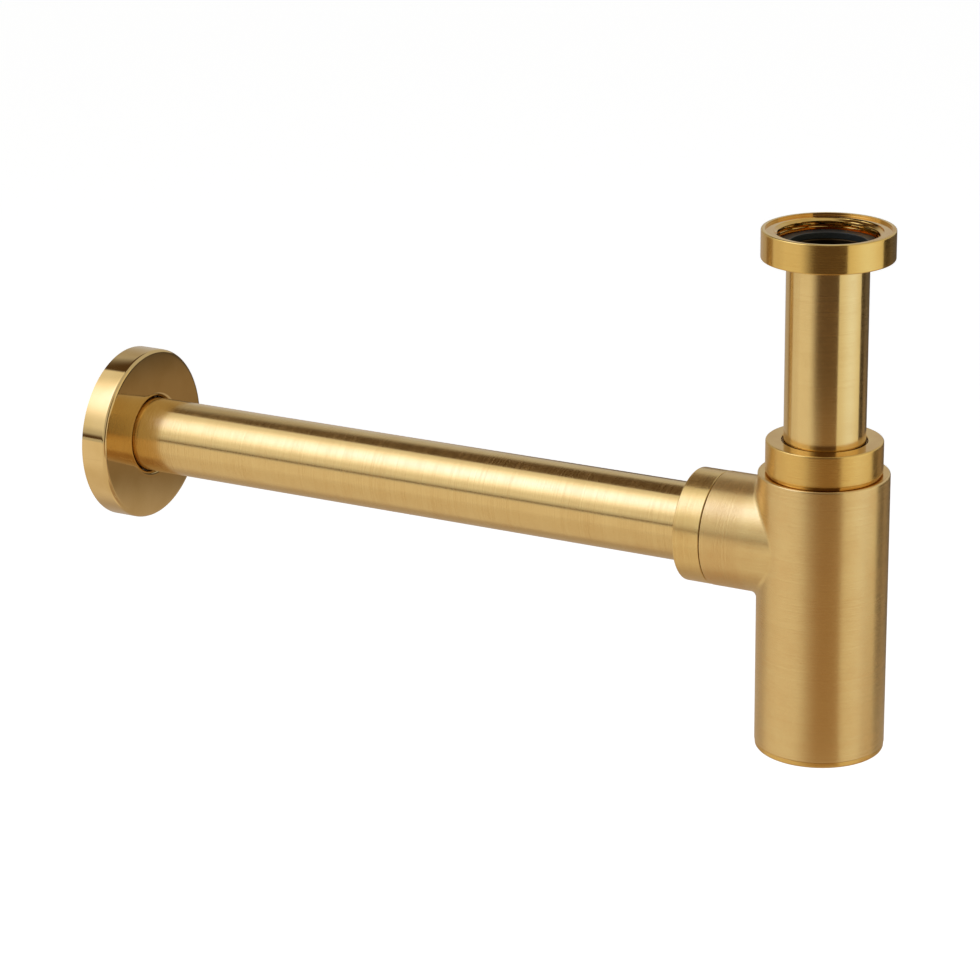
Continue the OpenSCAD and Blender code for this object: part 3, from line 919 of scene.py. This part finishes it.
def make_stage():
    make_world()
    ground("floor", FLOOR_Z, FLOOR_REACH, FLOOR_CENTRE, "#EFEFEE", camera_glow=0.6, mirror_glow=0.3)

    # What the brass shows of the floor: cream on the left, painted shade right under the trap,
    # where its shadow falls, and darker on the wall side
    dome_patch("floor_cream", 0, (-180, 180), (-85, -1), "#E4D9CC")
    # Painted shade: a darker sheet under the trap, seen in the brass alone, stands in for its shadow
    dome_patch("floor_painted_shade", 1, (-180, 180), (-88, -52), "#B39C88", fade=(0, 0, 0, 18))
    dome_patch("floor_left", 2, (-88, -18), (-32, -1), "#F2E9DE", fade=(8, 20, 12, 0))
    dome_patch("floor_right", 1, (134, 178), (-60, -14), "#B8A08C", fade=(0, 16, 0, 9))
    dome_patch("floor_wall_side", 2, (-12, 143), (-85, -1), "#BCAFA2", fade=(25, 6, 15, 0))

    # Soft boxes: high on the left with a bright middle, and wide on the right of the camera
    dome_patch("key_softbox", 3, (-80, 18), (6, 80), "#FFFFFF", 0.96, fade=(10, 0, 8, 0),
               hot=(-40, 45, 32, "#BCC8FF", 3.6), lights=True)
    dome_patch("right_softbox", 3, (-219.5, -142), (-26, 45), "#FFF6E1", 0.87, fade=(0, 0, 8, 0),
               hot=(176, -4, 45, "#EEF5FF", 1.22), lights=True)

    # Two flags close in on the camera's side, deep above and brown below
    dome_patch("camera_flag", NEAR_LAYER, (-144.5, -62), (-11, 72), "#5D4B3C", fade=(0, 34, 9, 12))
    dome_patch("camera_floor_flag", NEAR_LAYER - 1, (-144.5, -70), (-66, 8), "#AA8A68",
               fade=(0, 42, 12, 8))

    # Flags far out: the dark wall side over its floor, one high over it, a haze beside the
    # key, and a thin one at the horizon
    dome_patch("side_flag", 4, (52, 122), (-29, 9), "#5E564E", fade=(10, 0, 8, 3))
    dome_patch("side_shade", 5, (96, 122), (-29, -11), "#958169", fade=(8, 0, 8, 5))
    dome_patch("right_flag", 6, (120.5, 141.5), (-29, 9), "#403730", fade=(2, 0, 8, 3))
    dome_patch("overhead_flag", 4, (8, 64), (29, 80), "#5A4733", fade=(4, 8, 13, 0))
    dome_patch("wall_haze", 4, (-12, 48), (-1, 36), "#BCB6AC", fade=(12, 10, 0, 8))
    dome_patch("left_flag", 4, (-8, 18), (-18, -2), "#8C6E4A", fade=(6, 6, 5, 4))
    dome_patch("horizon_flag", 5, (-80, -20), (1.5, 6.5), "#5A4530", fade=(0, 8, 0, 3.5))


# The object

def paint(piece, material, chosen):
    """Gives a second finish to the faces whose middle passes a test, in millimetres."""
    piece.data.materials.append(material)
    for face in piece.data.polygons:
        if chosen(*(face.center / MM)):
            face.material_index = 1


def finish_piece(piece, body, material, slot, *nodes):
    piece.data.materials.clear()
    piece.data.materials.append(material)
    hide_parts(*nodes)
    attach(piece, body)


place_camera()
make_stage()

# Drawn tube, brushed round: it mirrors the room across and draws it out lengthways. The three
# numbers of each brass are how rough its crests are, its share of grooves and its clouds' size
tube_brass = brass("brushed_brass_tube", "#E3C98B", "#CE9F58", 0.16, upright_lines, 0.12, 9)
pipe_brass = brass("brushed_brass_pipe", "#DFC284", "#CE9F58", 0.16, level_lines, 0.08, 9)
# Nuts off the lathe: the union nut keeps a fine finish, the others are brushed softer
union_brass = brass("machined_brass_union_nut", "#DEBC6E", "#CE9A45", 0.16, upright_lines, 0.03, 9)
nut_brass = brass("machined_brass_nut", "#DFBC6E", "#DBA85A", 0.24, upright_lines, 0.26, 9)
side_nut_brass = brass("machined_brass_side_nut", "#E4C886", "#DCAC62", 0.21, fine_level_lines, 0.25, 9)
# Casting, brushed on a belt: the softest reflections
cast_brass = brass("brushed_brass_casting", "#E2C88A", "#DCAE6C", 0.27, casting_lines, 0.3, 12)
# Buffed faces: pressed sheet, thread crests and the ends that the lathe left bright
flange_brass = buffed_brass("buffed_brass_sheet", "#DFC084", "#D8B87A", 0.06)
bright_brass = buffed_brass("bright_turned_brass", "#DCB668", "#D0A556", 0.1)
# Inside of the drawn tubes: dull, and dark brown as painted shade that stands in for the shade
# deep in their bores, so that their ends read as open
bore_painted_shade = buffed_brass("drawn_brass_painted_shade", "#4A3A24", "#33291B", 0.45)
# Seals of black rubber, dull with a soft sheen, and slip rings of natural nylon, waxy and pale
rubber = moulded("moulded_rubber", "#1F221F", "#343833", 0.42, 0.4)
nylon = moulded("moulded_nylon", "#DAD6CB", "#E8E5DC", 0.45, 0.8)

# How far past a radius or height a face still counts as inside it, the rim of a nut, which
# stays brushed, and the mouths of tube and pipe, which get the painted shade of their bores
EDGE = 0.1
NUT_RIM = 0.6
TUBE_MOUTH, PIPE_MOUTH = 0.9, 0.3

# Union nut: lip, drilled seat, tapped mouth and the shallow recess round it
union_mouth = -UNION_RECESS_DEPTH
union = turned("union_nut", rounded_path([
    (UNION_HOLE_R, union_low.z, 0.2), (union_high.x, union_low.z, 0.5),
    (union_high.x, union_high.z, 0.6), (UNION_RECESS_R, union_high.z, 0.12),
    (UNION_RECESS_R, union_mouth, 0.1), (UNION_THREAD_R, union_mouth, 0),
    (UNION_THREAD_R, UNION_THREAD_END, 0), (UNION_MINOR_R, UNION_THREAD_END, 0),
    (UNION_MINOR_R, UNION_LIP_TOP, 0), (UNION_HOLE_R, UNION_LIP_TOP, 0)]),
    thread=Thread(UNION_THREAD_R, UNION_THREAD_END, union_mouth, PIPE_PITCH, PIPE_THREAD_DEPTH))
finish_piece(union, "union_nut", union_brass, "brushed_brass", "inlet_union_nut")
paint(union, bright_brass,
      lambda x, y, z: math.hypot(x, y) < UNION_RECESS_R + EDGE and z > union_low.z + EDGE)

washer = turned("flat_washer", rounded_path([
    (BORE_R, washer_low.z, 0.1), (washer_high.x, washer_low.z, 0.25),
    (washer_high.x, washer_high.z, 0.25), (BORE_R, washer_high.z, 0.25)]))
finish_piece(washer, "inlet", rubber, "rubber", "inlet_washer")

tube_flange_low = tube_high.z - TUBE_FLANGE
tube = turned("dip_tube", rounded_path([
    (BORE_R, tube_low.z, 0), (TUBE_R, tube_low.z, 0.25), (TUBE_R, tube_flange_low, 0.35),
    (tube_high.x, tube_flange_low, 0.1), (tube_high.x, tube_high.z, 0.1), (BORE_R, tube_high.z, 0.8)]))
finish_piece(tube, "inlet", tube_brass, "brushed_brass", "inlet_tube")
# Painted shade: the bore and mouth of the tube are dark brown
paint(tube, bore_painted_shade, lambda x, y, z: math.hypot(x, y) < BORE_R + TUBE_MOUTH)

inlet_nut_r = inlet_nut_high.x
inlet_nut = compression_nut("inlet_nut", inlet_nut_r, inlet_nut_low.z, inlet_nut_high.z, round_z)
finish_piece(inlet_nut, "inlet_nut", nut_brass, "brushed_brass", "inlet_compression_nut")
paint(inlet_nut, bright_brass,
      lambda x, y, z: math.hypot(x, y) < inlet_nut_r - NUT_RIM or z < inlet_nut_low.z + EDGE)

outlet_nut_r = outlet_nut_high.x
outlet_nut = compression_nut(
    "outlet_clamp_nut", outlet_nut_r, outlet_nut_low.y, outlet_nut_high.y, round_y)
finish_piece(outlet_nut, "outlet_clamp", side_nut_brass, "brushed_brass", "outlet_nut")
paint(outlet_nut, bright_brass, lambda x, y, z: math.hypot(x, z - OUTLET_Z) < outlet_nut_r - NUT_RIM)


def bare_casting(x, y, z):
    """Ledges, necks and the inside of the bottle, which the brush doesn't reach."""
    from_inlet, from_outlet = math.hypot(x, y), math.hypot(x, z - OUTLET_Z)
    on_top = z > BODY_TOP - 0.2 and from_inlet < BODY_R - LEDGE_ROUND
    at_end = y > BRANCH_END - EDGE
    inside = from_inlet < CAVITY_R + 0.2 and (y < CAVITY_R - 1 or from_outlet < BORE_R + 1)
    in_branch = y > 0 and from_outlet < NECK_BORE_R + 0.4
    return on_top or at_end or inside or in_branch or z < BODY_BOTTOM + 0.05


body = make_body()
finish_piece(body, "bottle", cast_brass, "brushed_brass", "trap_body")
paint(body, bright_brass, bare_casting)

pipe = turned("drain_pipe", rounded_path([
    (BORE_R, pipe_low.y, 0.1), (TUBE_R, pipe_low.y, 0.25), (TUBE_R, pipe_high.y, 0.25),
    (BORE_R, pipe_high.y, 0.1)]), round_y)
finish_piece(pipe, "pipe", pipe_brass, "brushed_brass", "outlet_pipe")
# Painted shade: the bore and mouth of the pipe are dark brown
paint(pipe, bore_painted_shade, lambda x, y, z: math.hypot(x, z - OUTLET_Z) < BORE_R + PIPE_MOUTH)

flange = make_flange()
finish_piece(flange, "flange", flange_brass, "polished_brass", "wall_flange")

plug = make_plug()
finish_piece(plug, "plug", nut_brass, "brushed_brass", "cleaning_plug")

for node, material in (("inlet_slip_ring", nylon), ("outlet_slip_ring", nylon), ("inlet_seal", rubber),
                       ("outlet_seal", rubber), ("flange_grip_ring", rubber), ("plug_o_ring", rubber)):
    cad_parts[node].data.materials.clear()
    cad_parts[node].data.materials.append(material)
